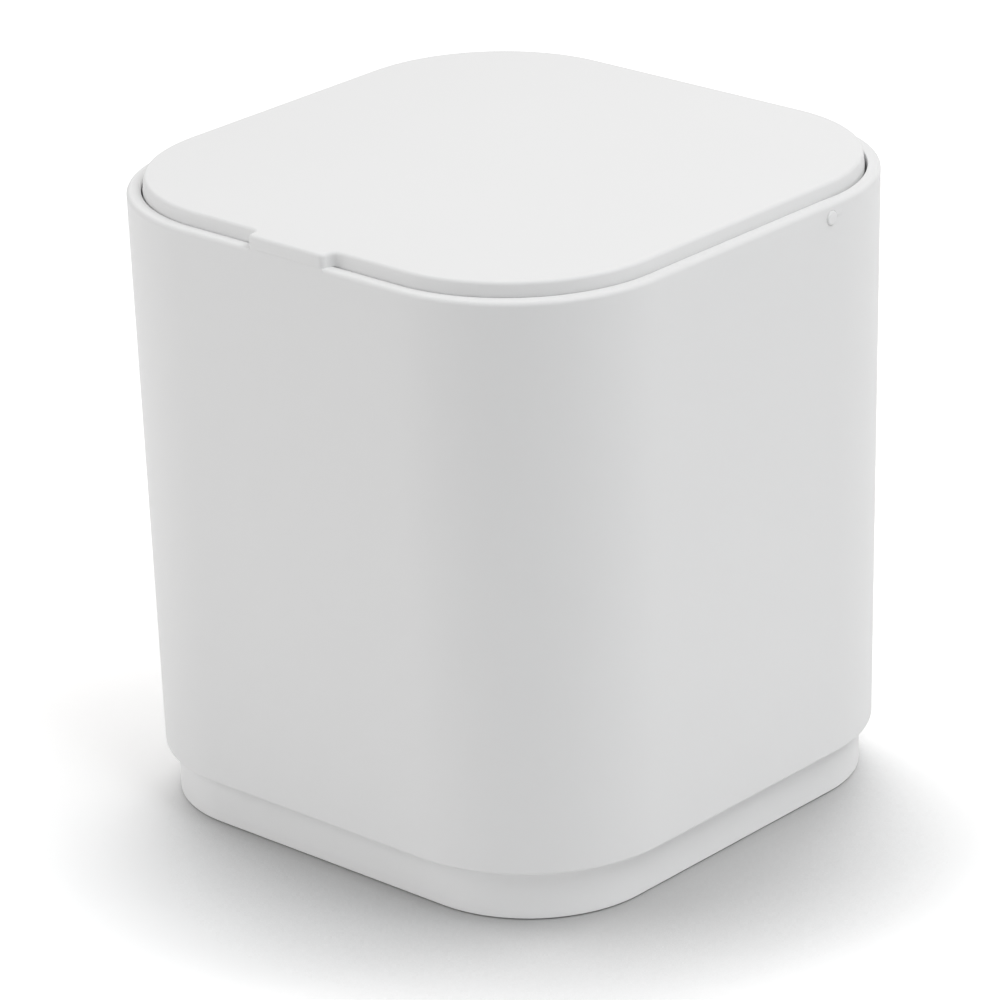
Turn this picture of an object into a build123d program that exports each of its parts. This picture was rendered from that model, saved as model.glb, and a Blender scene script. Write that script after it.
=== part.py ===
from build123d import *
import math
import os

# Countertop waste bin with a swing lid, in millimetres.
# +Z is up and the origin is on the counter, under the middle of the bin.
# The front, with the lid's finger tab, faces -Y. The lid turns about an axis along X.

# Outer sleeve: a tapered square tube with round corners, open at both ends
body_width = 160.0        # across the flats at the rim
body_corner = 44.0        # plan radius of the corners at the rim
rim_height = 165.0        # top edge, above the counter
hem_height = 14.0         # bottom edge, above the counter
face_lean = 0.0165        # how far each face leans out, per millimetre up
rim_wall = 3.0
hem_wall = 2.8
rim_round = 1.6           # outer edge of the rim, left square under the lid's tab
rim_inner_round = 0.7
hem_round = 1.0
ledge_bite = 1.2          # how far the sleeve's inner ledge reaches over the base's wall
ledge_thickness = 2.5

# Base: a shallow tray set back under the sleeve
base_inset = 4.4          # step back from the sleeve's face to the base's face
base_corner_step = 7.0    # how much tighter the base's corners are than the sleeve's
base_wall = 2.4
base_reach = 8.0          # how far the base's wall stands up inside the sleeve
base_floor = 2.5
floor_gap = 0.3           # daylight under the base's wall
floor_height = 3.0        # underside of the base's floor, above the counter
rib_gap = 1.2             # daylight under the base's ribs
rib_thickness = 1.6
locator_height = 4.0      # ring on the base's floor that centres the bucket
locator_wall = 1.6

# Rubber feet
foot_radius = 7.0
foot_round = 0.5
foot_inset = 21.0         # from the base's face to a foot's centre
foot_collar = 1.6         # wall of the ring round each foot
foot_clearance = 0.2

# Inner bucket
bucket_height = 120.5     # from its underside to its lip
bucket_lean = 0.022
bucket_wall = 1.8
bucket_floor = 2.0
bucket_round = 5.0        # edge between its floor and its walls, outside
lip_overhang = 2.8        # from the bucket's wall to the edge of its lip
lip_thickness = 1.6
lip_drop = 5.0            # depth of the lip's turned-down edge
lip_wall = 1.2

# Lid
lid_rise = 3.6            # top of the lid above the rim
lid_plate = 2.4
lid_lean = 0.4            # how far the lid's edge leans in, from the rim's level to its top
lid_round = 1.0
skirt_wall = 2.0
skirt_depth = 12.0        # from the lid's top to the skirt's lower edge
lid_rib_depth = 4.0
lid_rib_thickness = 1.4
lid_rib_spacing = 52.0    # between the two ribs that run front to back
tab_width = 25.0
tab_corner = 1.6

# Hinge
hinge_set_back = 31.3     # from the middle of the bin to the hinge line
hinge_drop = 3.8          # from the rim down to the hinge line
open_angle = 75.0         # where the stops catch the lid, in degrees
pin_radius = 1.8
pin_proud = 0.45          # how far a pin's domed head stands out of the sleeve
pin_engagement = 8.0      # how far a pin reaches into the lid
pin_end_room = 0.5        # left free past a pin's inner end
ear_wall = 2.75           # material round the pin's bore in the lid
stop_width = 8.0          # along the skirt's edge
stop_height = 5.0
stop_overlap = 1.6        # how far a stop reaches under the skirt, past the skirt's inner face

# Clearances
lid_gap = 0.6             # between the lid's edge and the sleeve's inner face
lid_corner_ease = 1.3     # added to the lid's corner radius, so its corners swing clear
tab_clearance = 0.2       # between the finger tab and the rim
pin_clearance = 0.05      # on the radius, between a pin and the lid's bore
stop_clearance = 0.3      # between a stop and the skirt of the fully opened lid
lift_clearance = 0.5      # between the bucket's lip and the ledge that lifts past it
locator_clearance = 0.6


# Sizes that follow from the ones above
def sleeve_half(height):
    return body_width / 2 - face_lean * (rim_height - height)


def sleeve_wall(height):
    share = (rim_height - height) / (rim_height - hem_height)
    return rim_wall + (hem_wall - rim_wall) * share


def sleeve_corner(height):
    return body_corner - face_lean * (rim_height - height)


base_half = sleeve_half(hem_height) - base_inset
base_corner = sleeve_corner(hem_height) - base_corner_step
base_top = hem_height + base_reach
floor_top = floor_height + base_floor
ledge_half = base_half - ledge_bite
ledge_corner = base_corner - ledge_bite

lip_half = ledge_half - lift_clearance
lip_corner = ledge_corner - lift_clearance
bucket_top = floor_top + bucket_height
bucket_half = lip_half - lip_overhang
bucket_corner = lip_corner - lip_overhang
bucket_taper = bucket_lean * bucket_height

lid_half = body_width / 2 - rim_wall - lid_gap
lid_corner = body_corner - rim_wall - lid_gap + lid_corner_ease
lid_top = rim_height + lid_rise
lid_under = lid_top - lid_plate
skirt_low = lid_top - skirt_depth

hinge_height = rim_height - hinge_drop
ear_radius = pin_radius + pin_clearance + ear_wall
pin_inner = lid_half - pin_engagement
foot_place = base_half - foot_inset


def outline(half, corner, height):
    return Plane.XY.offset(height) * RectangleRounded(2 * half, 2 * half, corner)


def upright(half, corner, low, high):
    return extrude(outline(half, corner, low), high - low)


def tapered(low_half, low_corner, low, high_half, high_corner, high):
    sections = [outline(low_half, low_corner, low), outline(high_half, high_corner, high)]
    return loft(sections, ruled=True)


def ring(half, corner, wall, low, high):
    return upright(half, corner, low, high) - upright(half - wall, corner - wall, low, high)


def edges_at(shape, height):
    return shape.edges().filter_by_position(Axis.Z, height - 0.001, height + 0.001)


def across(radius, start, end):
    # A round bar on the hinge line, from one x to another
    bar = Cylinder(radius, abs(end - start), rotation=(0, 90, 0))
    return Pos((start + end) / 2, hinge_set_back, hinge_height) * bar


def sleeve_shell():
    hem_half = sleeve_half(hem_height)
    hem_corner = sleeve_corner(hem_height)
    outside = tapered(hem_half, hem_corner, hem_height, body_width / 2, body_corner, rim_height)
    inside = tapered(
        hem_half - hem_wall, hem_corner - hem_wall, hem_height,
        body_width / 2 - rim_wall, body_corner - rim_wall, rim_height,
    )
    square = outside - inside
    shell = fillet(edges_at(outside, rim_height), rim_round) - inside
    mouth = outline(body_width / 2 - rim_wall, body_corner - rim_wall, rim_height).wire()
    inner_edges = [e for e in edges_at(shell, rim_height) if e.distance_to(mouth) < 0.01]
    shell = fillet(inner_edges, rim_inner_round)
    shell = fillet(edges_at(shell, hem_height), hem_round)
    # The land under the tab keeps the rim's full width out to the front face
    depth = (rim_round + rim_wall - rim_inner_round) / 2
    land = Box(tab_width, depth, 2 * rim_round, align=(Align.CENTER, Align.MIN, Align.MAX))
    land = Pos(0, -body_width / 2, rim_height) * land
    return shell + (square & land)


def sleeve_ledge():
    # The shelf inside the sleeve's lower end, which sits on top of the base's wall
    low = base_top
    high = base_top + ledge_thickness
    depth = sleeve_wall(low) / 2
    shelf = tapered(
        sleeve_half(low) - depth, sleeve_corner(low) - depth, low,
        sleeve_half(high) - depth, sleeve_corner(high) - depth, high,
    )
    return shelf - upright(ledge_half, ledge_corner, low, high)


def lid_stop(side):
    # Drawn under the skirt of the closed lid, then turned about the hinge line with it
    inner = lid_half - skirt_wall - stop_overlap
    outer = sleeve_half(hinge_height) - sleeve_wall(hinge_height) / 2
    block = Box(outer - inner, stop_width, stop_height)
    middle = (inner + outer) / 2
    reach = math.sqrt(stop_width ** 2 + stop_height ** 2) + 2 * ear_radius
    block = Pos(
        side * middle,
        hinge_set_back + reach + stop_width / 2,
        skirt_low - stop_clearance - stop_height / 2,
    ) * block
    hinge_line = Axis((0, hinge_set_back, hinge_height), (-1, 0, 0))
    return block.rotate(hinge_line, open_angle)


def outer_sleeve():
    sleeve = sleeve_shell() + sleeve_ledge()
    for side in (-1, 1):
        sleeve += lid_stop(side)
        hole = across(pin_radius, side * lid_half, side * body_width)
        sleeve -= hole
    return sleeve


def base_plinth():
    wall = ring(base_half, base_corner, base_wall, floor_gap, base_top)
    floor = upright(base_half - base_wall / 2, base_corner - base_wall / 2, floor_height, floor_top)
    locator_half = bucket_half - bucket_taper + locator_clearance + locator_wall
    locator_corner = bucket_corner - bucket_taper + locator_clearance + locator_wall
    locator = ring(locator_half, locator_corner, locator_wall, floor_top, floor_top + locator_height)
    plinth = wall + floor + locator
    rib_height = floor_height - rib_gap
    rib = Box(2 * base_half - base_wall, rib_thickness, rib_height)
    for turn in (0, 90):
        for place in (-foot_place / 2, foot_place / 2):
            plinth += Rot(0, 0, turn) * Pos(0, place, rib_gap + rib_height / 2) * rib
    collar = Cylinder(foot_radius + foot_clearance + foot_collar, rib_height)
    collar -= Cylinder(foot_radius + foot_clearance, rib_height)
    for x in (-foot_place, foot_place):
        for y in (-foot_place, foot_place):
            plinth += Pos(x, y, rib_gap + rib_height / 2) * collar
    return plinth


def inner_bucket():
    low_half = bucket_half - bucket_taper
    low_corner = bucket_corner - bucket_taper
    inner_low = floor_top + bucket_floor
    inner_taper = bucket_lean * (bucket_height - bucket_floor)
    inner_half = bucket_half - bucket_wall
    inner_corner = bucket_corner - bucket_wall
    body = tapered(low_half, low_corner, floor_top, bucket_half, bucket_corner, bucket_top)
    body = fillet(edges_at(body, floor_top), bucket_round)
    lip_low = bucket_top - lip_thickness
    body += upright(lip_half, lip_corner, lip_low, bucket_top)
    body += ring(lip_half, lip_corner, lip_wall, bucket_top - lip_drop, bucket_top)
    hollow = tapered(
        inner_half - inner_taper, inner_corner - inner_taper, inner_low,
        inner_half, inner_corner, bucket_top,
    )
    hollow = fillet(edges_at(hollow, inner_low), bucket_round - bucket_wall)
    return body - hollow


def foot(x, y):
    pad = Pos(x, y, floor_height / 2) * Cylinder(foot_radius, floor_height)
    return fillet(edges_at(pad, 0), foot_round)


def lid_shell():
    crown = tapered(
        lid_half, lid_corner, rim_height,
        lid_half - lid_lean, lid_corner - lid_lean, lid_top,
    )
    crown -= upright(lid_half - skirt_wall, lid_corner - skirt_wall, rim_height, lid_under)
    tab_low = rim_height + tab_clearance
    tab_length = body_width / 2 - lid_half + lid_corner
    tab = Box(tab_width, tab_length, lid_top - tab_low)
    tab = Pos(0, tab_length / 2 - body_width / 2, (lid_top + tab_low) / 2) * tab
    front_corners = tab.edges().filter_by(Axis.Z).sort_by(Axis.Y)[:2]
    tab = fillet(front_corners, tab_corner)
    tab = split(tab, Plane.XZ.offset(lid_half - skirt_wall), keep=Keep.TOP)
    cover = crown + tab
    return fillet(edges_at(cover, lid_top), lid_round)


def lid_ear(side):
    length = pin_engagement + pin_end_room + ear_wall
    end = side * (lid_half - skirt_wall / 2)
    start = side * (lid_half - length)
    barrel = across(ear_radius, start, end)
    web = Box(abs(end - start), 2 * ear_radius, lid_under - hinge_height)
    web = Pos((start + end) / 2, hinge_set_back, (lid_under + hinge_height) / 2) * web
    return barrel + web


def lid_ribs():
    low = lid_under - lid_rib_depth
    span = 2 * lid_half - skirt_wall
    along = Box(lid_rib_thickness, span, lid_rib_depth)
    crossing = Box(span, lid_rib_thickness, lid_rib_depth)
    middle = low + lid_rib_depth / 2
    ribs = Pos(0, hinge_set_back, middle) * crossing
    ribs += Pos(0, -hinge_set_back, middle) * crossing
    for side in (-1, 1):
        ribs += Pos(side * lid_rib_spacing / 2, 0, middle) * along
    return ribs


def lid_cover():
    lid = lid_shell() + ring(lid_half, lid_corner, skirt_wall, skirt_low, rim_height)
    lid += lid_ribs()
    for side in (-1, 1):
        lid += lid_ear(side)
    for side in (-1, 1):
        lid -= across(pin_radius + pin_clearance, side * (pin_inner - pin_end_room), side * lid_half)
    return lid


def hinge_pin(side):
    outer = sleeve_half(hinge_height) + pin_proud
    pin = across(pin_radius, side * pin_inner, side * outer)
    head = pin.edges().sort_by(Axis.X)[-1 if side > 0 else 0]
    return fillet(head, pin_proud)


pieces = {
    "outer_sleeve": outer_sleeve(),
    "base_plinth": base_plinth(),
    "inner_bucket": inner_bucket(),
    "lid_cover": lid_cover(),
    "hinge_pin_left": hinge_pin(-1),
    "hinge_pin_right": hinge_pin(1),
    "foot_front_left": foot(-foot_place, -foot_place),
    "foot_front_right": foot(foot_place, -foot_place),
    "foot_rear_left": foot(-foot_place, foot_place),
    "foot_rear_right": foot(foot_place, foot_place),
}

os.makedirs("parts", exist_ok=True)
for name, piece in pieces.items():
    export_step(piece, f"parts/{name}.step")
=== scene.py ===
import bpy
import math
import numpy as np
from mathutils import Matrix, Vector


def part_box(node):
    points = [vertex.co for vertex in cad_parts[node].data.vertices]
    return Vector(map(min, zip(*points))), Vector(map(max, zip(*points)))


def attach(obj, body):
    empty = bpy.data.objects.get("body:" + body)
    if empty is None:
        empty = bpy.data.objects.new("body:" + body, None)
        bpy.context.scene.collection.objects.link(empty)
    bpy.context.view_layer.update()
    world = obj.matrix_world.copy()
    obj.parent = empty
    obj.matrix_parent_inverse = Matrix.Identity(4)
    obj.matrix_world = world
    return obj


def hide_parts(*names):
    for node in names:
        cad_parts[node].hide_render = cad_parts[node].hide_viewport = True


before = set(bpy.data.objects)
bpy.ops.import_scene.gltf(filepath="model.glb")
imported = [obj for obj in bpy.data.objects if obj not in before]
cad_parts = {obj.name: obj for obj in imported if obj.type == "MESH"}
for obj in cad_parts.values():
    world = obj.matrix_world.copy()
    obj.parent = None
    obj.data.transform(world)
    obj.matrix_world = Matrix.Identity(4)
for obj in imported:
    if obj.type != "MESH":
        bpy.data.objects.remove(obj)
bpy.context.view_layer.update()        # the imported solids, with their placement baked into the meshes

mm = 0.001               # shapes are worked out in millimetres, and meshes are in metres
poleShare = 0.02         # the last ring round a pole, as a share of the outline that it closes


def boxOf(node):
    # lowest and highest corner of a CAD node, in millimetres
    low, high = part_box(node)
    return np.array(low) / mm, np.array(high) / mm


sleeveLow, sleeveHigh = boxOf("outer_sleeve")
lidLow, lidHigh = boxOf("lid_cover")
baseLow, baseHigh = boxOf("base_plinth")
bucketLow, bucketHigh = boxOf("inner_bucket")
pinLow, pinHigh = boxOf("hinge_pin_right")
footLow, footHigh = boxOf("foot_rear_right")

rimTop = sleeveHigh[2]
rimHalf = -lidLow[1]                 # the finger tab ends flush with the sleeve's face
hemHeight = sleeveLow[2]
lidTop = lidHigh[2]
lidHalf = lidHigh[0]
hingeY = (pinLow[1] + pinHigh[1]) / 2
hingeZ = (pinLow[2] + pinHigh[2]) / 2


def smoothStep(x):
    # 3 x^2 - 2 x^3, held between 0 and 1
    x = np.clip(x, 0, 1)
    return x * x * (3 - 2 * x)


def arcPoints(centre, radius, start, end, steps):
    # P(t) = centre + radius * (cos t, sin t)
    t = np.linspace(start, end, steps + 1)
    return list(zip(centre[0] + radius * np.cos(t), centre[1] + radius * np.sin(t)))


def squarePath(flats, cornerSteps):
    # Unit square path, anticlockwise from above, starting at the bottom of the +X side.
    # b(u) runs round the square's outline and n(u) is the outward normal, so that
    # P(u) = (halfX - r, halfY - r) * b(u) + r * n(u) is a rectangle with corners of radius r.
    base, normal = [], []
    for side, places in enumerate(flats):
        turn = side * math.pi / 2
        spin = np.array([[math.cos(turn), -math.sin(turn)], [math.sin(turn), math.cos(turn)]])
        flat = np.column_stack([np.ones(len(places)), places])
        base.append(flat @ spin.T)
        normal.append(np.tile(spin[:, 0], (len(places), 1)))
        angle = turn + np.linspace(0, math.pi / 2, cornerSteps + 1)[1:-1]
        base.append(np.tile(spin @ np.array([1.0, 1.0]), (len(angle), 1)))
        normal.append(np.column_stack([np.cos(angle), np.sin(angle)]))
    return np.vstack(base), np.vstack(normal)


def roundProfile(corners, closed, steps=7, guard=0.3, spacing=5.0):
    # Each corner (half, radius, z, rounding) is cut back by its rounding and bridged by an arc:
    # centre = p + bisector * rounding / sin(phi / 2), swept through the turn pi - phi.
    # Guard rows just outside each arc keep flat faces flat when smooth shaded.
    data = np.array([c[:3] for c in corners], float)
    count = len(data)
    rows = []
    for i, corner in enumerate(corners):
        p, rounding = data[i], corner[3]
        inner = closed or 0 < i < count - 1
        if not inner or rounding == 0:
            rows.append(p)
            continue
        back = data[i - 1] - p
        ahead = data[(i + 1) % count] - p
        backLength = np.hypot(back[0], back[2])
        aheadLength = np.hypot(ahead[0], ahead[2])
        a = np.array([back[0], back[2]]) / backLength
        b = np.array([ahead[0], ahead[2]]) / aheadLength
        phi = math.acos(np.clip(a @ b, -1, 1))
        cut = rounding / math.tan(phi / 2)
        bisector = (a + b) / np.linalg.norm(a + b)
        centre = bisector * rounding / math.sin(phi / 2)
        start, end = a * cut - centre, b * cut - centre
        turn = math.pi - phi
        share = np.linspace(0, 1, steps + 1)[:, None]
        arc = centre + (np.sin((1 - share) * turn) * start + np.sin(share * turn) * end) / math.sin(turn)
        room = 3 * (cut + guard)         # a shorter edge gets no guard row
        points = [a * (cut + guard)] if backLength > room else []
        points = points + list(arc)
        points = points + ([b * (cut + guard)] if aheadLength > room else [])
        rows.extend([p[0] + q[0], p[1] + q[0], p[2] + q[1]] for q in points)
    rows = np.array(rows)
    if closed:
        rows = np.vstack([rows, rows[:1]])
    gaps = np.abs(np.diff(rows, axis=0)).max(axis=1)
    pieces = [np.linspace(rows[i], rows[i + 1], max(1, math.ceil(gap / spacing)), endpoint=False)
              for i, gap in enumerate(gaps)]
    return np.vstack(pieces) if closed else np.vstack(pieces + [rows[-1:]])


def denseRows(rows, low, high, step):
    # extra rows between two heights, on the first, upward run of a profile
    first = int(np.argmax(rows[:, 2] > high))
    before = int(np.argmax(rows[:first, 2] > low)) or first
    start, end = rows[before - 1], rows[first]
    heights = np.arange(low, high, step)
    share = ((heights - start[2]) / (end[2] - start[2]))[:, None]
    return np.vstack([rows[:before], start + (end - start) * share, rows[first:]])


def sweep(rows, path):
    # P(v, u) = (half(v) - r(v)) * b(u) + r(v) * n(u), at height z(v)
    base, normal = path
    half, radius, height = rows[:, 0], rows[:, 1], rows[:, 2]
    grid = np.empty((len(rows), len(base), 3))
    grid[:, :, :2] = (half - radius)[:, None, None] * base + radius[:, None, None] * normal
    grid[:, :, 2] = height[:, None]
    return grid


def lathe(profile, steps):
    # P(v, u) = (radius(v) * cos u, radius(v) * sin u, height(v))
    rows = np.array(profile, float)
    angle = np.linspace(0, 2 * math.pi, steps, endpoint=False)
    grid = np.empty((len(rows), steps, 3))
    grid[:, :, 0] = rows[:, :1] * np.cos(angle)
    grid[:, :, 1] = rows[:, :1] * np.sin(angle)
    grid[:, :, 2] = rows[:, 1:2]
    return grid


def alongX(grid):
    # lays a lathe's upright axis along X: (x, y, z) goes to (z, x, y)
    return grid[:, :, [2, 0, 1]]


def mirrored(grid):
    # (x, y, z) goes to (-x, y, z), and the columns run backwards so that faces still point outwards
    return grid[:, ::-1] * [-1, 1, 1]


def roundedBlock(low, high, rounding, cornerSteps=4):
    # A box with all its edges rounded, closed by two poles:
    # P(v, u) = middle + (half - r) * b(u) + r * cos v * n(u), at +-(halfZ - r) + r * sin v
    low, high = np.array(low, float), np.array(high, float)
    middle, half = (low + high) / 2, (high - low) / 2
    angle = np.linspace(-math.pi / 2, math.pi / 2, 2 * cornerSteps + 1)
    inset = rounding * (1 - np.cos(angle))
    height = np.where(angle < 0, -half[2] + rounding, half[2] - rounding) + rounding * np.sin(angle)
    height[cornerSteps] = 0              # one row halfway up
    base, normal = squarePath([[-1.0, 1.0]] * 4, cornerSteps)
    reach = rounding - inset
    grid = np.empty((len(angle), len(base), 3))
    grid[:, :, 0] = (half[0] - rounding) * base[:, 0] + reach[:, None] * normal[:, 0]
    grid[:, :, 1] = (half[1] - rounding) * base[:, 1] + reach[:, None] * normal[:, 1]
    grid[:, :, 2] = height[:, None]
    return grid + middle


def ribBlock(axis, place, reach, low, high, s):
    # a rounded rib along X (axis 0) or Y (axis 1), from -reach to reach, at a place on the other axis
    middle, half = np.zeros(2), np.full(2, s["ribThickness"] / 2)
    middle[1 - axis], half[axis] = place, reach
    return roundedBlock((*(middle - half), low), (*(middle + half), high), s["ribRound"])


def gridFaces(rowCount, columnCount, closedRows, offset):
    # quads (i, j) (i, j+1) (i+1, j+1) (i+1, j), wrapping round the columns
    i = np.arange(rowCount if closedRows else rowCount - 1)[:, None]
    j = np.arange(columnCount)[None, :]
    up, across = (i + 1) % rowCount, (j + 1) % columnCount
    quads = np.stack([i * columnCount + j, i * columnCount + across,
                      up * columnCount + across, up * columnCount + j], axis=-1)
    return quads.reshape(-1, 4) + offset


def poleFaces(row, columnCount, pole, offset, upward):
    # a fan of triangles that closes the first or the last row on its middle point
    j = np.arange(columnCount)
    ends = [row * columnCount + j, row * columnCount + (j + 1) % columnCount]
    first, second = ends if upward else ends[::-1]
    return np.stack([first + offset, second + offset, np.full(columnCount, pole)], axis=-1)


def makePiece(name, shells, material, body, nodes):
    # Joins grids into one mesh. A shell is (grid, closedRows), and an open one is closed by poles.
    vertices, quads, fans, start = [], [], [], 0
    for grid, closedRows in shells:
        rowCount, columnCount = grid.shape[:2]
        points = grid.reshape(-1, 3)
        quads.append(gridFaces(rowCount, columnCount, closedRows, start))
        if not closedRows:
            poles = np.array([grid[0].mean(axis=0), grid[-1].mean(axis=0)])
            fans.append(poleFaces(0, columnCount, start + len(points), start, False))
            fans.append(poleFaces(rowCount - 1, columnCount, start + len(points) + 1, start, True))
            points = np.vstack([points, poles])
        vertices.append(points)
        start += len(points)
    points = np.vstack(vertices) * mm
    quad = np.vstack(quads)
    fan = np.vstack(fans) if fans else np.empty((0, 3), int)
    loops = np.concatenate([quad.ravel(), fan.ravel()]).astype(np.int32)
    sizes = np.concatenate([np.full(len(quad), 4), np.full(len(fan), 3)])
    starts = np.concatenate([[0], np.cumsum(sizes)[:-1]]).astype(np.int32)
    mesh = bpy.data.meshes.new(name)
    mesh.vertices.add(len(points))
    mesh.vertices.foreach_set("co", points.ravel())
    mesh.loops.add(len(loops))
    mesh.loops.foreach_set("vertex_index", loops)
    mesh.polygons.add(len(sizes))
    mesh.polygons.foreach_set("loop_start", starts)
    mesh.update(calc_edges=True)
    mesh.polygons.foreach_set("use_smooth", np.ones(len(sizes), bool))
    mesh.materials.append(material)
    mesh.validate()
    piece = bpy.data.objects.new(name, mesh)
    bpy.context.scene.collection.objects.link(piece)
    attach(piece, body)
    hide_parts(*nodes)
    print(f"{name}: {len(points)} points, {len(sizes)} faces")
    return piece


def plastic(name, s):
    # Moulded plastic: faint cloudiness in the colour, a fine spark-eroded grain, satin gloss
    material = bpy.data.materials.new(name)
    material.use_nodes = True
    nodes, links = material.node_tree.nodes, material.node_tree.links
    shader = nodes["Principled BSDF"]
    place = nodes.new("ShaderNodeTexCoord")
    cloud = nodes.new("ShaderNodeTexNoise")
    cloud.inputs["Scale"].default_value = s["cloudScale"]
    cloud.inputs["Detail"].default_value = s["cloudDetail"]
    tone = nodes.new("ShaderNodeMix")
    tone.data_type = "RGBA"
    tone.inputs["A"].default_value = (*s["colour"], 1)
    tone.inputs["B"].default_value = (*[c * (1 - s["cloud"]) for c in s["colour"]], 1)
    grain = nodes.new("ShaderNodeTexNoise")
    grain.inputs["Scale"].default_value = s["grainScale"]
    grain.inputs["Detail"].default_value = s["grainDetail"]
    gloss = nodes.new("ShaderNodeMapRange")
    gloss.inputs["To Min"].default_value = s["roughness"] - s["roughnessSpread"]
    gloss.inputs["To Max"].default_value = s["roughness"] + s["roughnessSpread"]
    bump = nodes.new("ShaderNodeBump")
    bump.inputs["Strength"].default_value = s["grainStrength"]
    bump.inputs["Distance"].default_value = s["grainDepth"] * mm
    links.new(place.outputs["Object"], cloud.inputs["Vector"])
    links.new(place.outputs["Object"], grain.inputs["Vector"])
    links.new(cloud.outputs["Fac"], tone.inputs["Factor"])
    links.new(cloud.outputs["Fac"], gloss.inputs["Value"])
    links.new(tone.outputs["Result"], shader.inputs["Base Color"])
    links.new(gloss.outputs["Result"], shader.inputs["Roughness"])
    links.new(grain.outputs["Fac"], bump.inputs["Height"])
    links.new(bump.outputs["Normal"], shader.inputs["Normal"])
    shader.inputs["IOR"].default_value = s["ior"]
    return material


whitePlastic = {
    "colour": (0.832, 0.832, 0.832), "cloud": 0.02, "cloudScale": 9.0, "cloudDetail": 3.0,
    "roughness": 0.55, "roughnessSpread": 0.03, "ior": 1.45,
    "grainScale": 2600.0, "grainDetail": 2.0, "grainStrength": 0.25, "grainDepth": 0.02,     # depth in mm
}
bucketPlastic = dict(whitePlastic, colour=(0.76, 0.765, 0.77), grainStrength=0.35)
greyRubber = dict(whitePlastic, colour=(0.10, 0.10, 0.10), cloud=0.12, roughness=0.75, grainScale=1800.0,
                  grainStrength=0.5, ior=1.5)
sleeveFinish = plastic("sleevePlastic", whitePlastic)
lidFinish = plastic("lidPlastic", whitePlastic)
baseFinish = plastic("basePlastic", dict(whitePlastic, colour=(0.86, 0.86, 0.86)))
pinFinish = plastic("pinPlastic", dict(whitePlastic, roughness=0.45))
bucketFinish = plastic("bucketPlastic", bucketPlastic)
footFinish = plastic("footRubber", greyRubber)
print("finishes made")


sleeve = {
    "corner": 44.0,          # plan radius at the rim
    "lean": 0.0165,          # mm out per mm up
    "rimWall": 3.0, "hemWall": 2.8,
    "rimRound": 1.2, "rimInnerRound": 0.35, "hemRound": 0.6,
    "lip": 0.33, "sideLip": 0.42,      # how far the inner wall's top stands in: front, sides
    "lipRear": 42.0, "lipFade": 12.0,  # both fade out over the last stretch before this y
    "cornerLip": 1.0,                  # more of it in the corners, where the lid's gap is wider
    "lipDepth": 3.0, "lipFull": 1.0,   # it grows over this height and is full this far below the rim
    "tabHalf": 12.5, "tabBlend": 0.3,
    "tabRound": 0.008,       # the rim's outer rounding under the lid's tab
    "tabDepth": 12.0,        # that edge is drawn no further down from the rim than this
    "ledgeLow": 22.0, "ledgeHigh": 24.5, "ledgeHalf": 71.9, "ledgeCorner": 33.3, "ledgeRound": 0.3,
    "pinHole": 1.92, "pinHoleDrop": 0.08, "pinHoleEdge": 0.12, "pinHoleDepth": 0.12,
    "holeStep": 0.1, "holeReach": 2.15,          # rows and columns are this close, this far round a pin
    "stopWidth": 8.0, "stopHeight": 5.0, "stopInner": 72.8, "stopOuter": 78.4, "stopRound": 0.3,
    "stopBehind": 22.63, "stopRoom": 0.3, "openAngle": 75.0,     # behind the hinge, under the skirt
    "flatPlaces": 11, "blendPlaces": 7, "cornerSteps": 40,
}


def sleeveFlats(s):
    # places along each flat, closer together where the pins and the tab are
    plain = np.linspace(-1, 1, s["flatPlaces"])
    centre = rimHalf - s["corner"]
    hole = np.arange(hingeY - s["holeReach"], hingeY + s["holeReach"], s["holeStep"]) / centre
    right = np.unique(np.concatenate([plain[np.abs(plain * centre - hingeY) > s["holeReach"]], hole]))
    edge = (s["tabHalf"] + s["tabBlend"] * np.linspace(-1, 1, s["blendPlaces"])) / centre
    front = np.unique(np.concatenate([plain, edge, -edge]))
    return [right, plain, -right[::-1], front]


def sleeveRows(s):
    # half and corner shrink by lean * (rimTop - z), and the wall goes from rimWall to hemWall
    def half(z):
        return rimHalf - s["lean"] * (rimTop - z)

    def corner(z):
        return s["corner"] - s["lean"] * (rimTop - z)

    def wall(z):
        return s["rimWall"] + (s["hemWall"] - s["rimWall"]) * (rimTop - z) / (rimTop - hemHeight)

    def inside(z, rounding):
        return (half(z) - wall(z), corner(z) - wall(z), z, rounding)

    ledge = (s["ledgeHalf"], s["ledgeCorner"])
    corners = [
        (half(hemHeight), corner(hemHeight), hemHeight, s["hemRound"]),
        (half(rimTop), corner(rimTop), rimTop, s["rimRound"]),
        inside(rimTop, s["rimInnerRound"]),
        inside(s["ledgeHigh"], s["ledgeRound"]),
        (*ledge, s["ledgeHigh"], s["ledgeRound"]),
        (*ledge, s["ledgeLow"], s["ledgeRound"]),
        inside(s["ledgeLow"], s["ledgeRound"]),
        inside(hemHeight, s["hemRound"]),
    ]
    rows = roundProfile(corners, True)
    low = hingeZ - s["holeReach"] - s["pinHoleDrop"]
    return denseRows(rows, low, hingeZ + s["holeReach"], s["holeStep"])


def crispRows(rows, s):
    # (a, b) is a point of the rim's outer arc or its guard rows, from the arc's centre, in radii.
    # The arc is drawn again at the square corner with a smaller radius: (a, b) = 1 - share * (1 - (a, b)).
    rounding = s["rimRound"]
    past = 0.3               # the guard rows stand less than this many radii outside the arc
    a = (rows[:, 0] - rimHalf + rounding) / rounding
    b = (rows[:, 2] - rimTop + rounding) / rounding
    push = ((a > -past) & (b > -past)) * (1 - s["tabRound"] / rounding)
    return rows + rounding * np.column_stack([push * (1 - a), push * (1 - a), push * (1 - b)])


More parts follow.
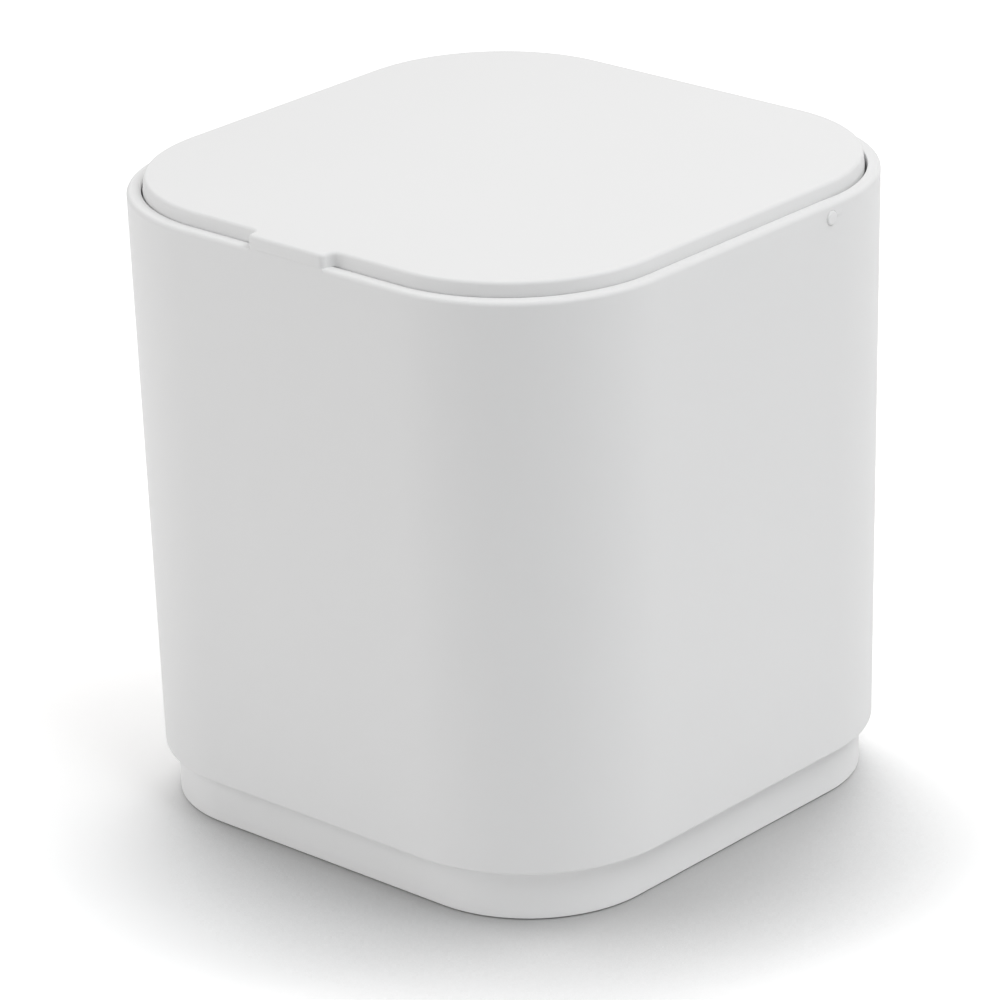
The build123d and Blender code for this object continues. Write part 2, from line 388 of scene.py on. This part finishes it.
def lipShift(grid, rows, normal, s):
    # The top of the inner wall stands in by lip, or by sideLip on the right and left flats,
    # times step(height) * step(distance forward of the rear corners). The gap round the lid widens
    # in the corners by a share of |nx| + |ny| - 1, and the lip follows it.
    x, y = np.abs(grid[:, :, 0]), grid[:, :, 1]
    inside = rows[:, 0] < rimHalf - s["lean"] * (rimTop - rows[:, 2]) - s["rimWall"] / 2
    rise = smoothStep((rows[:, 2] - rimTop + s["lipDepth"] + s["lipFull"]) / s["lipDepth"]) * inside
    flat = smoothStep((rimHalf - s["corner"] - np.abs(y)) / s["lipFade"]) * (x > np.abs(y))
    front = smoothStep((s["lipRear"] - y) / s["lipFade"])
    turned = np.abs(normal).sum(axis=1) - 1
    return rise[:, None] * (front * (s["lip"] + (s["sideLip"] - s["lip"]) * flat) + s["cornerLip"] * turned)


def stopBlock(side, s):
    # A block for the open lid's skirt to land on, drawn under the closed skirt and turned with it:
    # (y, z) about the hinge goes to (y cos a + z sin a, z cos a - y sin a)
    tall, wide = s["stopHeight"] / 2, s["stopWidth"] / 2
    y, z = s["stopBehind"], lidLow[2] - hingeZ - s["stopRoom"] - tall
    block = roundedBlock((s["stopInner"], y - wide, z - tall), (s["stopOuter"], y + wide, z + tall),
                         s["stopRound"])
    a = math.radians(s["openAngle"])
    turn = np.array([[1, 0, 0], [0, math.cos(a), math.sin(a)], [0, -math.sin(a), math.cos(a)]])
    block = block @ turn.T + [0, hingeY, hingeZ]
    return block if side > 0 else mirrored(block)


def makeSleeve(s):
    path = squarePath(sleeveFlats(s), s["cornerSteps"])
    rows = sleeveRows(s)
    grid = sweep(rows, path)
    grid[:, :, :2] -= lipShift(grid, rows, path[1], s)[:, :, None] * path[1]
    crisp = sweep(crispRows(rows, s), path)
    # under the tab the rim's outer edge is crisp: P = (1 - w) * rounded + w * crisp
    outer = rimHalf - s["rimWall"] / 2
    w = smoothStep((s["tabHalf"] + s["tabBlend"] - np.abs(grid[:, :, 0])) / (2 * s["tabBlend"]))
    w = w * (grid[:, :, 1] < -outer) * (grid[:, :, 2] > rimTop - s["tabDepth"])
    grid = grid + w[:, :, None] * (crisp - grid)
    # a shallow round recess at each pin end, a little lower than the pin: x moves inwards by
    # depth * step(distance to its middle)
    distance = np.hypot(grid[:, :, 1] - hingeY, grid[:, :, 2] - hingeZ + s["pinHoleDrop"])
    recess = smoothStep((s["pinHole"] + s["pinHoleEdge"] - distance) / s["pinHoleEdge"])
    recess = recess * (np.abs(grid[:, :, 0]) > outer)
    grid[:, :, 0] -= np.sign(grid[:, :, 0]) * s["pinHoleDepth"] * recess
    shells = [(grid, True), (stopBlock(-1, s), False), (stopBlock(1, s), False)]
    return makePiece("sleeveShell", shells, sleeveFinish, "sleeve", ["outer_sleeve"])


makeSleeve(sleeve)


lid = {
    "corner": 41.7,
    "plate": 2.4, "lean": 0.4,                   # the edge leans in by this much from the rim to the top
    "edgeRound": 1.0, "edgeSteps": 7, "guard": 0.25,
    "dish": 0.15, "dishPower": 1.5,
    "topInsets": (2.2, 4.0), "topRings": 21,     # rings of the top, from its edge inwards
    "skirt": 2.0, "skirtRound": 0.3, "underRound": 0.6,
    "tabHalf": sleeve["tabHalf"], "tabLean": sleeve["lean"],     # as the sleeve's face below it
    "tabCorner": 1.35,       # more than edgeRound + guard, or the top folds over there
    "tabFillet": 1.9,
    "tabEdge": 0.004, "tabEdgeShare": 0.3,       # the chamfer under the tab, and where its middle row is
    "seam": 0.003,           # the tab stands this far over the rim
    "seamStep": 0.02, "tabGuard": 0.5,           # rows just under the tab and above its chamfer
    "tabRoom": 0.5,          # plain places nearer the tab than this are left out
    "filletSteps": 4, "sideSteps": 4, "roundSteps": 6, "frontSteps": 8,
    "ribThickness": 1.4, "ribDepth": 4.0, "ribSpacing": 52.0, "ribRound": 0.35,
    "overlap": 0.5, "rootDepth": 1.0,            # how far ribs run into the skirt and the plate
    "earRadius": 4.6, "earLength": 11.25, "earBore": 2.0, "earEase": 0.5, "earSteps": 64,
    "webInset": 0.6,
    "flatPlaces": 13, "cornerSteps": 40,
}


def tabOutline(s):
    # The tab's outline in (x, reach) with its outward normals: a fillet, a side, a round corner
    # and the front, and the same mirrored. Arc: centre + radius * (cos a, sin a).
    reach = rimHalf - lidHalf
    fillet, corner, side = s["tabFillet"], s["tabCorner"], s["tabHalf"]
    a = np.linspace(-math.pi / 2, 0, s["filletSteps"] + 1)
    n = -np.column_stack([np.cos(a), np.sin(a)])
    fillets = np.array([-side - fillet, fillet]) - fillet * n
    along = np.linspace(fillet, reach - corner, s["sideSteps"] + 1)[1:-1]
    sides = np.column_stack([np.full(len(along), -side), along])
    b = np.linspace(math.pi, math.pi / 2, s["roundSteps"] + 1)
    m = np.column_stack([np.cos(b), np.sin(b)])
    rounds = np.array([-side + corner, reach - corner]) + corner * m
    points = np.vstack([fillets, sides, rounds])
    normals = np.vstack([n, np.tile([-1.0, 0.0], (len(along), 1)), m])
    flip = np.array([-1.0, 1.0])
    front = np.linspace(-side + corner, side - corner, s["frontSteps"] + 1)[1:-1]
    middle = np.column_stack([front, np.full(len(front), reach)])
    points = np.vstack([points, middle, points[::-1] * flip])
    normals = np.vstack([normals, np.tile([0.0, 1.0], (len(front), 1)), normals[::-1] * flip])
    return points, normals


def edgeRows(s):
    # The rows of the lid's edge that carry the tab, as (inset at the tab, inset elsewhere, height).
    # Elsewhere the side leans in by angle q, and its arc is centred r / cos q inside it:
    # inset = lean + r / cos q - r cos t.
    radius, guard, fine = s["edgeRound"], s["guard"], s["tabEdge"]
    slope = s["lean"] / (lidTop - rimTop)
    q = math.atan(slope)
    low, arcLow = rimTop + s["seam"], lidTop - radius
    rows = [(fine, low), (fine * s["tabEdgeShare"], low + fine * s["tabEdgeShare"]), (0, low + fine),
            (0, low + s["tabGuard"]), (0, arcLow - guard)]
    rows = [(inset + s["tabLean"] * (arcLow - z), slope * (z - rimTop), z) for inset, z in rows]
    centred = slope * (arcLow - rimTop) + radius / math.cos(q)
    rows += [(radius * (1 - math.cos(t)), centred - radius * math.cos(t), arcLow + radius * math.sin(t))
             for t in np.linspace(q, math.pi / 2, s["edgeSteps"] + 1)]
    return np.array(rows + [(radius + guard, centred + guard, lidTop)])


def lidEar(side, plateLow, s):
    # a barrel for the pin, lying along X inside the skirt, and a web that joins it to the plate
    radius, length, ease = s["earRadius"], s["earLength"], s["earEase"]
    bite = 0.3 * ease                    # the middle of the barrel's eased edge
    barrel = lathe([(s["earBore"], 0), (radius - ease, 0), (radius - bite, bite), (radius, ease),
                    (radius, length - ease)], s["earSteps"])
    barrel = alongX(barrel) + [lidHalf - length, hingeY, hingeZ]
    web = roundedBlock((lidHalf - length, hingeY - radius, hingeZ),
                       (lidHalf - s["webInset"], hingeY + radius, plateLow + s["rootDepth"]), s["ribRound"])
    return [(part if side > 0 else mirrored(part), False) for part in (barrel, web)]


def makeLid(s):
    points, normals = tabOutline(s)
    centre = lidHalf - s["corner"]
    root = s["tabHalf"] + s["tabFillet"]
    plain = np.linspace(-1, 1, s["flatPlaces"])
    outside = plain[np.abs(plain) * centre > root + s["tabRoom"]]
    tabPlaces = np.linspace(-root, root, len(points)) / centre
    front = np.concatenate([outside[outside < 0], tabPlaces, outside[outside > 0]])
    path = squarePath([plain, plain, plain, front], s["cornerSteps"])
    plateLow = lidTop - s["plate"]
    inner, innerCorner = lidHalf - s["skirt"], s["corner"] - s["skirt"]
    lower = roundProfile([
        (inner * poleShare, innerCorner * poleShare, plateLow, 0),
        (inner, innerCorner, plateLow, s["underRound"]),
        (inner, innerCorner, lidLow[2], s["skirtRound"]),
        (lidHalf, s["corner"], lidLow[2], s["skirtRound"]),
        (lidHalf, s["corner"], rimTop + s["seam"] - s["seamStep"], 0),
    ], False)
    edge = edgeRows(s)
    upper = np.column_stack([lidHalf - edge[:, 1], s["corner"] - edge[:, 1], edge[:, 2]])
    inset = np.array(s["topInsets"])
    shrink = np.linspace(1, poleShare, s["topRings"] + 1)[1:]
    rest = lidHalf - inset[-1]
    top = np.vstack([
        np.column_stack([lidHalf - inset, s["corner"] - inset, np.full(len(inset), lidTop)]),
        np.column_stack([rest * shrink, (s["corner"] - inset[-1]) * shrink, np.full(len(shrink), lidTop)]),
    ])
    grid = np.vstack([sweep(lower, path), sweep(upper, path), sweep(top, path)])
    # the tab's columns of the edge rows follow the tab's outline: P = outline - inset * normal,
    # drawn back to the leaning side at its root
    first = len(path[0]) - (s["cornerSteps"] - 1) - len(outside[outside > 0]) - len(points)
    columns = slice(first, first + len(points))
    rows = slice(len(lower), len(lower) + len(upper))
    shifted = points[None] - edge[:, 0, None, None] * normals[None]
    drawn = (edge[:, 1] - edge[:, 0])[:, None] * (1 - points[:, 1] / points[:, 1].max())
    grid[rows, columns, 0] = shifted[:, :, 0]
    grid[rows, columns, 1] = drawn - lidHalf - shifted[:, :, 1]
    # a faint dish: the top falls by dish * ((1 - (x/h)^2) * (1 - (y/h)^2)) ^ power, flat at its edge
    x, y = grid[:, :, 0] / rest, grid[:, :, 1] / rest
    bowl = np.clip(1 - x * x, 0, 1) * np.clip(1 - y * y, 0, 1)
    onTop = np.isclose(grid[:, :, 2], lidTop)
    grid[:, :, 2] -= s["dish"] * bowl ** s["dishPower"] * onTop

    shells = [(grid, False)]
    ribLow, ribHigh, reach = plateLow - s["ribDepth"], plateLow + s["rootDepth"], inner + s["overlap"]
    for y in (hingeY, -hingeY):
        shells.append((ribBlock(0, y, reach, ribLow, ribHigh, s), False))
    for x in (-s["ribSpacing"] / 2, s["ribSpacing"] / 2):
        shells.append((ribBlock(1, x, reach, ribLow, ribHigh, s), False))
    shells += lidEar(-1, plateLow, s) + lidEar(1, plateLow, s)
    return makePiece("lidShell", shells, lidFinish, "lid", ["lid_cover"])


makeLid(lid)


base = {
    "corner": 34.5, "wall": 2.4, "floorLow": 3.0, "floorHigh": 5.5,
    "topRound": 0.4, "bottomRound": 0.4, "innerRound": 0.3, "floorRound": 0.6, "underRound": 0.5,
    "ribThickness": 1.6, "ribLow": 1.2, "ribPlace": 26.05, "ribRound": 0.3,
    "overlap": 0.5,          # how far ribs, ring and collars run into the walls and the floor
    "locatorHalf": 68.15, "locatorCorner": 29.55, "locatorWall": 1.6, "locatorHigh": 9.5,
    "locatorRound": 0.4,
    "collarInner": 7.2, "collarOuter": 8.8, "collarEase": 0.3, "collarSteps": 64,
    "flatPlaces": 9, "cornerSteps": 32,
}


def makeBase(s):
    # a swept tray and a swept ring, with ribs along X and Y and a lathed collar round each foot
    half = baseHigh[0]
    inner, innerCorner = half - s["wall"], s["corner"] - s["wall"]
    path = squarePath([np.linspace(-1, 1, s["flatPlaces"])] * 4, s["cornerSteps"])
    rows = roundProfile([
        (inner * poleShare, innerCorner * poleShare, s["floorLow"], 0),
        (inner, innerCorner, s["floorLow"], s["underRound"]),
        (inner, innerCorner, baseLow[2], s["innerRound"]),
        (half, s["corner"], baseLow[2], s["bottomRound"]),
        (half, s["corner"], baseHigh[2], s["topRound"]),
        (inner, innerCorner, baseHigh[2], s["topRound"]),
        (inner, innerCorner, s["floorHigh"], s["floorRound"]),
        (inner * poleShare, innerCorner * poleShare, s["floorHigh"], 0),
    ], False)
    outside = (s["locatorHalf"], s["locatorCorner"])
    inside = (s["locatorHalf"] - s["locatorWall"], s["locatorCorner"] - s["locatorWall"])
    ring = roundProfile([
        (*outside, s["floorHigh"] - s["overlap"], 0),
        (*outside, s["locatorHigh"], s["locatorRound"]),
        (*inside, s["locatorHigh"], s["locatorRound"]),
        (*inside, s["floorHigh"] - s["overlap"], 0),
    ], True)
    shells = [(sweep(rows, path), False), (sweep(ring, path), True)]
    low, high = s["ribLow"], s["floorLow"] + s["overlap"]
    for place in (-s["ribPlace"], s["ribPlace"]):
        for axis in (0, 1):
            shells.append((ribBlock(axis, place, inner + s["overlap"], low, high, s), False))
    bore, outer, ease = s["collarInner"], s["collarOuter"], s["collarEase"]
    collar = lathe([(bore, high), (bore, low + ease), (bore + ease, low), (outer - ease, low),
                    (outer, low + ease), (outer, high)], s["collarSteps"])
    footX, footY = (footLow[:2] + footHigh[:2]) / 2
    for x in (-footX, footX):
        for y in (-footY, footY):
            shells.append((collar + [x, y, 0], True))
    return makePiece("baseTray", shells, baseFinish, "base", ["base_plinth"])


makeBase(base)


bucket = {
    "lipCorner": 32.8, "lipOverhang": 2.8, "lipThickness": 1.6, "lipDrop": 5.0, "lipWall": 1.2,
    "wall": 1.8, "floor": 2.0, "lean": 0.022, "floorRound": 5.0,
    "underRound": 0.4, "hemInnerRound": 0.3, "hemRound": 0.4, "topRound": 0.7, "mouthRound": 0.6,
    "flatPlaces": 9, "cornerSteps": 32,
}


def makeBucket(s):
    # the walls lean in by lean * (top - z) down to the floor, and a lip turns over at the top
    low, top, lip = bucketLow[2], bucketHigh[2], bucketHigh[0]
    half, corner = lip - s["lipOverhang"], s["lipCorner"] - s["lipOverhang"]
    drop = s["lean"] * (top - low)
    innerDrop = s["lean"] * (top - low - s["floor"])
    lipRoot = s["lean"] * s["lipThickness"]
    inner, innerCorner = half - s["wall"], corner - s["wall"]
    under, hem = top - s["lipThickness"], top - s["lipDrop"]
    behind = (lip - s["lipWall"], s["lipCorner"] - s["lipWall"])
    path = squarePath([np.linspace(-1, 1, s["flatPlaces"])] * 4, s["cornerSteps"])
    rows = roundProfile([
        ((half - drop) * poleShare, (corner - drop) * poleShare, low, 0),
        (half - drop, corner - drop, low, s["floorRound"]),
        (half - lipRoot, corner - lipRoot, under, s["underRound"]),
        (*behind, under, s["underRound"]),
        (*behind, hem, s["hemInnerRound"]),
        (lip, s["lipCorner"], hem, s["hemRound"]),
        (lip, s["lipCorner"], top, s["topRound"]),
        (inner, innerCorner, top, s["mouthRound"]),
        (inner - innerDrop, innerCorner - innerDrop, low + s["floor"], s["floorRound"] - s["wall"]),
        ((inner - innerDrop) * poleShare, (innerCorner - innerDrop) * poleShare, low + s["floor"], 0),
    ], False)
    return makePiece("bucketShell", [(sweep(rows, path), False)], bucketFinish, "base",
                     ["inner_bucket"])


makeBucket(bucket)


pin = {"dome": 0.45, "domeSteps": 7, "chamfer": 0.3, "innerRing": 0.4, "outerRing": 0.6, "steps": 48}


def makePin(s, side, name, node):
    # a round bar with a chamfered inner end and a domed outer one, laid along the hinge line
    radius = (pinHigh[2] - pinLow[2]) / 2
    start, end = pinLow[0], pinHigh[0]
    dome = arcPoints((radius - s["dome"], end - s["dome"]), s["dome"], 0, math.pi / 2, s["domeSteps"])
    profile = [(s["innerRing"], start), (radius - s["chamfer"], start), (radius, start + s["chamfer"])]
    profile += dome + [(s["outerRing"], end)]
    grid = alongX(lathe(profile, s["steps"])) + [0, hingeY, hingeZ]
    if side < 0:
        grid = mirrored(grid)
    return makePiece(name, [(grid, False)], pinFinish, "sleeve", [node])


makePin(pin, 1, "pinRight", "hinge_pin_right")
makePin(pin, -1, "pinLeft", "hinge_pin_left")


foot = {"edge": 0.5, "edgeSteps": 6, "chamfer": 0.2, "ring": 0.5, "steps": 64}


def makeFoot(s, node):
    # a round pad with a rounded lower edge and a chamfered upper one
    low, high = boxOf(node)
    radius = (high[0] - low[0]) / 2
    bottom, top = low[2], high[2]
    edge = arcPoints((radius - s["edge"], bottom + s["edge"]), s["edge"], -math.pi / 2, 0, s["edgeSteps"])
    profile = [(s["ring"], bottom)] + edge
    profile += [(radius, top - s["chamfer"]), (radius - s["chamfer"], top), (s["ring"], top)]
    middle = [(low[0] + high[0]) / 2, (low[1] + high[1]) / 2, 0]
    grid = lathe(profile, s["steps"]) + middle
    name = "pad" + "".join(word.capitalize() for word in node.split("_")[1:])
    return makePiece(name, [(grid, False)], footFinish, "base", [node])


for node in ("foot_front_left", "foot_front_right", "foot_rear_left", "foot_rear_right"):
    makeFoot(foot, node)
print("pieces made")


stage = {
    "floorSize": 1.6,        # metres
    "floorTone": 0.90,       # the tone that lights the pieces from below
    "floorSeen": 1.54,       # the camera sees a white sweep, darkened only near the object by a painted shadow
    "shadowReach": 0.092,    # metres
    "shadowLean": (-0.740, 0.558, 0.375),        # the shadow lies on the side away from this direction
    "shadowPower": 1.35, "shadowFloor": 0.3,
    "ambient": 0.335,        # the world's grey, as a light
}


def mathNode(nodes, operation, second=None):
    # second is the value of the lower socket, where nothing is linked to it
    node = nodes.new("ShaderNodeMath")
    node.operation = operation
    if second is not None:
        node.inputs[1].default_value = second
    return node


def whiteForView(nodes, links, hidden):
    # hidden is the tone that lights the scene, and B is what the camera and reflections see
    way = nodes.new("ShaderNodeLightPath")
    either = mathNode(nodes, "MAXIMUM")
    seen = mathNode(nodes, "MAXIMUM")
    mix = nodes.new("ShaderNodeMix")
    mix.data_type = "RGBA"
    mix.inputs["A"].default_value = (hidden, hidden, hidden, 1)
    mix.inputs["B"].default_value = (1, 1, 1, 1)
    links.new(way.outputs["Is Camera Ray"], either.inputs[0])
    links.new(way.outputs["Is Glossy Ray"], either.inputs[1])
    links.new(either.outputs[0], seen.inputs[0])
    links.new(way.outputs["Is Transmission Ray"], seen.inputs[1])
    links.new(seen.outputs[0], mix.inputs["Factor"])
    return mix


def makeFloor(s):
    # seen tone = floorSeen * max(openness ^ shadowPower, shadowFloor), where openness is the share of
    # free directions round shadowLean within shadowReach. This darkening near the object is a painted
    # shadow in the floor's seen colour, laid over the shadows that the lamps cast.
    half = s["floorSize"] / 2
    mesh = bpy.data.meshes.new("floor")
    corners = [(-half, -half, 0), (half, -half, 0), (half, half, 0), (-half, half, 0)]
    mesh.from_pydata(corners, [], [(0, 1, 2, 3)])
    floor = bpy.data.objects.new("floor", mesh)
    bpy.context.scene.collection.objects.link(floor)
    material = bpy.data.materials.new("floorWhite")
    material.use_nodes = True
    nodes, links = material.node_tree.nodes, material.node_tree.links
    nodes.remove(nodes["Principled BSDF"])
    mix = whiteForView(nodes, links, s["floorTone"])
    openness = nodes.new("ShaderNodeAmbientOcclusion")
    openness.inputs["Distance"].default_value = s["shadowReach"]
    lean = nodes.new("ShaderNodeCombineXYZ")
    for socket, value in zip(lean.inputs, s["shadowLean"]):
        socket.default_value = value
    deeper = mathNode(nodes, "POWER", s["shadowPower"])
    least = mathNode(nodes, "MAXIMUM", s["shadowFloor"])
    bright = mathNode(nodes, "MULTIPLY", s["floorSeen"])
    matt = nodes.new("ShaderNodeBsdfDiffuse")
    links.new(lean.outputs["Vector"], openness.inputs["Normal"])
    links.new(openness.outputs["AO"], deeper.inputs[0])
    links.new(deeper.outputs[0], least.inputs[0])
    links.new(least.outputs[0], bright.inputs[0])
    links.new(bright.outputs[0], mix.inputs["B"])
    links.new(mix.outputs["Result"], matt.inputs["Color"])
    links.new(matt.outputs["BSDF"], nodes["Material Output"].inputs["Surface"])
    mesh.materials.append(material)


def makeWorld(s):
    world = bpy.data.worlds.new("studio")
    world.use_nodes = True
    nodes, links = world.node_tree.nodes, world.node_tree.links
    mix = whiteForView(nodes, links, s["ambient"])
    links.new(mix.outputs["Result"], nodes["Background"].inputs["Color"])
    bpy.context.scene.world = world


makeFloor(stage)
makeWorld(stage)


def viewFrom(azimuth, elevation):
    # the unit vector towards a place, from its azimuth off the front towards +X and its elevation,
    # and the level vector to the right of someone who looks in from there
    a, e = math.radians(azimuth), math.radians(elevation)
    back = np.array([math.sin(a) * math.cos(e), -math.cos(a) * math.cos(e), math.sin(e)])
    return back, np.array([math.cos(a), math.sin(a), 0])


def placed(right, up, back, place):
    # the matrix of a camera or lamp that looks along -back
    turn = np.eye(4)
    turn[:3] = np.column_stack([right, up, back, place])
    return Matrix(turn.tolist())


lamps = {
    "aim": (0.0, 0.0, 0.09), "distance": 1.7,    # metres
    # azimuth from the front towards +X, elevation, side length, watts, colour
    "front": (0, 55, 1.0, 1.5, (1.0, 0.98, 0.965)),
    "right": (90, 55, 1.0, 8.8, (0.95, 0.98, 1.0)),
    "backRight": (135, 55, 1.0, 8.0, (1.0, 0.98, 0.965)),
    "backLeft": (-135, 55, 1.0, 3.0, (1.0, 0.98, 0.965)),
    "leftFill": (-45, 20.6, 1.2, 8.3, (1.0, 0.995, 0.99)),
}


def softBox(name, s):
    # a square panel of light on a sphere about the aim, facing it
    azimuth, elevation, side, watts, colour = s[name]
    back, right = viewFrom(azimuth, elevation)
    light = bpy.data.lights.new(name + "Panel", "AREA")
    light.shape = "SQUARE"
    light.size = side
    light.energy = watts
    light.color = colour
    lamp = bpy.data.objects.new(name + "Panel", light)
    bpy.context.scene.collection.objects.link(lamp)
    place = np.array(s["aim"]) + s["distance"] * back
    lamp.matrix_world = placed(right, np.cross(back, right), back, place)


for name in ("front", "right", "backRight", "backLeft", "leftFill"):
    softBox(name, lamps)


camera = {
    "azimuth": 42.133, "elevation": 22.316, "roll": 1.655,       # degrees, azimuth as for the lamps
    "distance": 1406.2, "target": (-4.56, 0.0, 74.9),            # mm
    "focal": 5449.5, "frame": 1000.0,                            # focal length and frame width, same unit
    "sensor": 36.0,                                              # mm
    "near": 0.05, "far": 30.0,                                   # metres
}


def makeCamera(s):
    # right and up are turned by the roll about the line of view
    back, level = viewFrom(s["azimuth"], s["elevation"])
    roll = math.radians(s["roll"])
    upright = np.cross(back, level)
    right = level * math.cos(roll) - upright * math.sin(roll)
    up = level * math.sin(roll) + upright * math.cos(roll)
    lens = bpy.data.cameras.new("camera")
    lens.sensor_width = s["sensor"]
    lens.lens = s["focal"] / s["frame"] * s["sensor"]
    lens.clip_start, lens.clip_end = s["near"], s["far"]
    eye = bpy.data.objects.new("camera", lens)
    bpy.context.scene.collection.objects.link(eye)
    eye.matrix_world = placed(right, up, back, (np.array(s["target"]) + s["distance"] * back) * mm)
    bpy.context.scene.camera = eye


makeCamera(camera)
bpy.context.scene.view_settings.view_transform = "Standard"
print("stage, lights and camera set")
